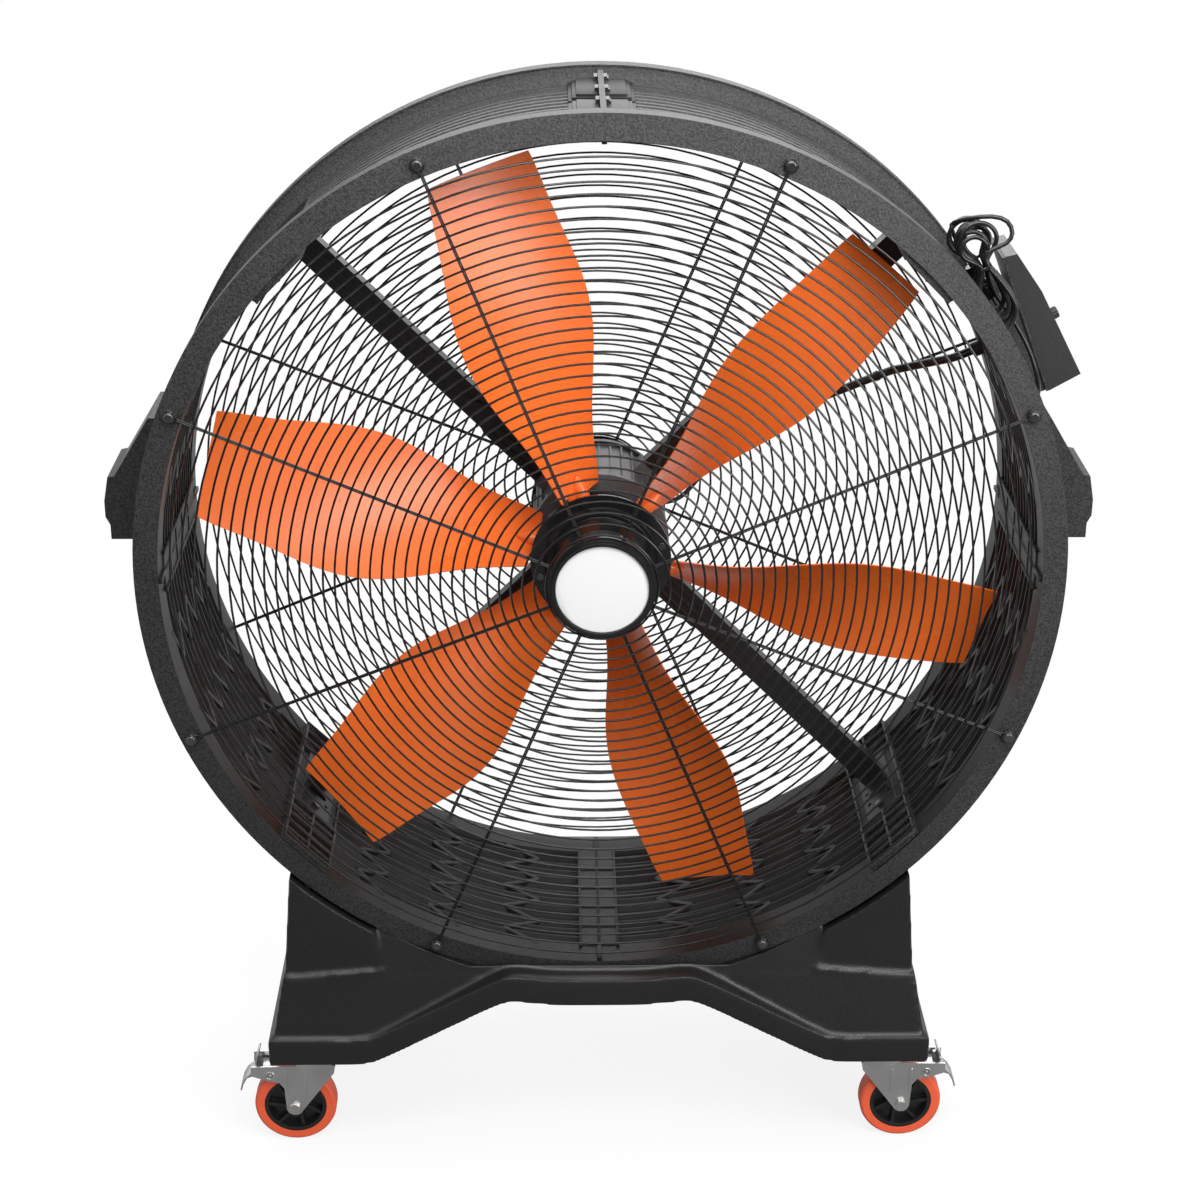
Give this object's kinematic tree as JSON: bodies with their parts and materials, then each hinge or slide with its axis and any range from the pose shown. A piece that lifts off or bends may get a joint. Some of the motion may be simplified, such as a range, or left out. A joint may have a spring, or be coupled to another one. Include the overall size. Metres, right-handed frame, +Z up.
{
  "type": "drum fan",
  "caption": "Large mobile drum fan: ribbed drum with wire guards, paddle blades on a central motor, moulded stand on swivel castors, side control box with a hanked mains cord.",
  "frame": {"origin": "on the floor under the middle of the drum", "axes": "+X to the right seen from the front, +Y to the back along the fan's shaft, +Z up"},
  "size_m": [1.412, 0.444, 1.59],
  "materials": {
    "shell_black": "rotationally moulded black polyethylene, fine orange-peel grain",
    "box_black": "satin black moulded housing",
    "wire_black": "gloss black powder coat on steel wire",
    "badge_white": "plain white badge",
    "fastener_black": "blackened steel fasteners",
    "hub_black": "glossy black moulding",
    "blade_orange": "glossy orange moulded blades",
    "steel": "ground steel",
    "core_steel": "laminated core and varnished windings",
    "motor_grey": "dark grey paint",
    "motor_black": "satin black paint",
    "arm_black": "black coated extrusion",
    "cable_black": "black jacket",
    "cord_black": "glossy black jacket",
    "tie_black": "black twist tie",
    "board_green": "circuit board",
    "zinc_steel": "bright zinc plate",
    "wheel_black": "black moulded wheel centre",
    "tread_orange": "cast polyurethane tread",
    "pedal_black": "black painted pressed steel"
  },
  "bodies": {
    "frame": {"drum_quadrant_1": "shell_black", "drum_quadrant_2": "shell_black", "drum_quadrant_3": "shell_black", "drum_quadrant_4": "shell_black", "stand": "shell_black", "side_lugs": "shell_black", "control_saddle": "shell_black", "lead_fittings": "shell_black", "mains_gland": "shell_black", "control_box": "box_black", "front_guard": "wire_black", "back_guard": "wire_black", "guard_plates": "wire_black", "arm_feet": "wire_black", "badge": "badge_white", "frame_bolts": "fastener_black", "guard_screws": "fastener_black", "motor_bearings": "steel", "motor_stator": "core_steel", "motor_housing": "motor_grey", "motor_front_shield": "motor_grey", "motor_rear_shield": "motor_black", "terminal_box": "motor_black", "motor_arms": "arm_black", "motor_lead": "cable_black", "lead_conduit": "cable_black", "mains_cord": "cord_black", "plug_cord": "cord_black", "cord_hank": "cord_black", "mains_plug": "cord_black", "cord_tie": "tie_black", "speed_controller": "board_green", "castor_plates": "zinc_steel"},
    "fan": {"blade_1": "blade_orange", "blade_2": "blade_orange", "blade_3": "blade_orange", "blade_4": "blade_orange", "blade_5": "blade_orange", "blade_6": "blade_orange", "hub_body": "hub_black", "hub_plate": "hub_black", "hub_cover": "hub_black", "hub_screws": "fastener_black", "motor_shaft": "steel"},
    "knob": {"speed_knob": "box_black"},
    "castor_1": {"castor_fork_1": "zinc_steel"},
    "wheel_1": {"wheel_rim_1": "wheel_black", "wheel_tread_1": "tread_orange"},
    "pedal_1": {"brake_pedal_1": "pedal_black"},
    "castor_2": {"castor_fork_2": "zinc_steel"},
    "wheel_2": {"wheel_rim_2": "wheel_black", "wheel_tread_2": "tread_orange"},
    "pedal_2": {"brake_pedal_2": "pedal_black"},
    "castor_3": {"castor_fork_3": "zinc_steel"},
    "wheel_3": {"wheel_rim_3": "wheel_black", "wheel_tread_3": "tread_orange"},
    "castor_4": {"castor_fork_4": "zinc_steel"},
    "wheel_4": {"wheel_rim_4": "wheel_black", "wheel_tread_4": "tread_orange"}
  },
  "joints": [
    {"name": "fan_spin", "type": "hinge", "parent": "frame", "child": "fan", "pos_m": [0, 0, 0.94], "axis": [0, 1, 0], "continuous": true},
    {"name": "speed_turn", "type": "hinge", "parent": "frame", "child": "knob", "pos_m": [0.64803, 0.056, 1.2525], "axis": [0.8809, 0, 0.4733], "range_deg": [0, 270]},
    {"name": "castor_swivel_1", "type": "hinge", "parent": "frame", "child": "castor_1", "pos_m": [-0.432, -0.16, 0.145], "axis": [0, 0, 1], "continuous": true},
    {"name": "wheel_spin_1", "type": "hinge", "parent": "castor_1", "child": "wheel_1", "pos_m": [-0.466, -0.16, 0.0625], "axis": [0, 1, 0], "continuous": true},
    {"name": "brake_press_1", "type": "hinge", "parent": "castor_1", "child": "pedal_1", "pos_m": [-0.502, -0.16, 0.121], "axis": [0, -1, 0], "range_deg": [0, 15]},
    {"name": "castor_swivel_2", "type": "hinge", "parent": "frame", "child": "castor_2", "pos_m": [0.432, -0.16, 0.145], "axis": [0, 0, 1], "continuous": true},
    {"name": "wheel_spin_2", "type": "hinge", "parent": "castor_2", "child": "wheel_2", "pos_m": [0.466, -0.16, 0.0625], "axis": [0, 1, 0], "continuous": true},
    {"name": "brake_press_2", "type": "hinge", "parent": "castor_2", "child": "pedal_2", "pos_m": [0.502, -0.16, 0.121], "axis": [0, 1, 0], "range_deg": [0, 15]},
    {"name": "castor_swivel_3", "type": "hinge", "parent": "frame", "child": "castor_3", "pos_m": [-0.432, 0.16, 0.145], "axis": [0, 0, 1], "continuous": true},
    {"name": "wheel_spin_3", "type": "hinge", "parent": "castor_3", "child": "wheel_3", "pos_m": [-0.398, 0.16, 0.0625], "axis": [0, 1, 0], "continuous": true},
    {"name": "castor_swivel_4", "type": "hinge", "parent": "frame", "child": "castor_4", "pos_m": [0.432, 0.16, 0.145], "axis": [0, 0, 1], "continuous": true},
    {"name": "wheel_spin_4", "type": "hinge", "parent": "castor_4", "child": "wheel_4", "pos_m": [0.398, 0.16, 0.0625], "axis": [0, 1, 0], "continuous": true}
  ]
}
